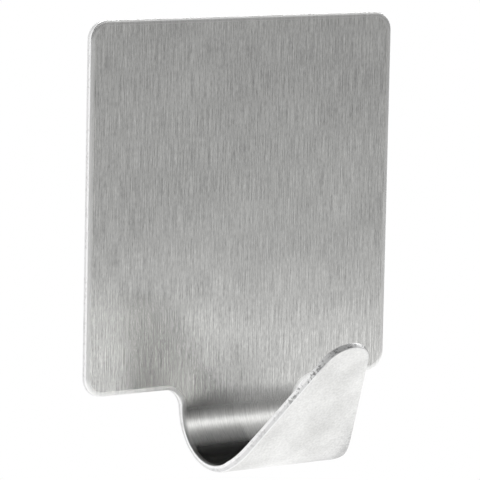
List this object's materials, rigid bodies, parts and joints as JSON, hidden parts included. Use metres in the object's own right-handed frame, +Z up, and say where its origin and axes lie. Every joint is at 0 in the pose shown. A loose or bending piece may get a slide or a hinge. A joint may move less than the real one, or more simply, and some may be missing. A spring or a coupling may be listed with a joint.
{
  "type": "adhesive wall hook",
  "caption": "Square brushed steel plate on an adhesive foam pad, with a tongue below it bent forward into a tapered hook for hanging light things on a wall.",
  "frame": {"origin": "centre of the wall side, at the middle of the plate's width and height", "axes": "+Y into the wall, so the hook reaches forward along -Y; +Z up; +X to the right as seen from the room"},
  "size_m": [0.04, 0.0222, 0.0481],
  "materials": {
    "steel": "stainless, face brushed along its height, back left as rolled",
    "adhesive": "clear and tacky",
    "foam": "white closed-cell foam, cut edges",
    "liner": "siliconised paper"
  },
  "bodies": {
    "hook": {"hook_plate": "steel", "plate_adhesive": "adhesive", "foam_pad": "foam", "wall_adhesive": "adhesive"},
    "liner": {"release_liner": "liner"}
  },
  "joints": [
    {"name": "liner_peel", "type": "slide", "parent": "hook", "child": "liner", "axis": [0, 1, 0], "range_m": [0, 0.03]}
  ]
}
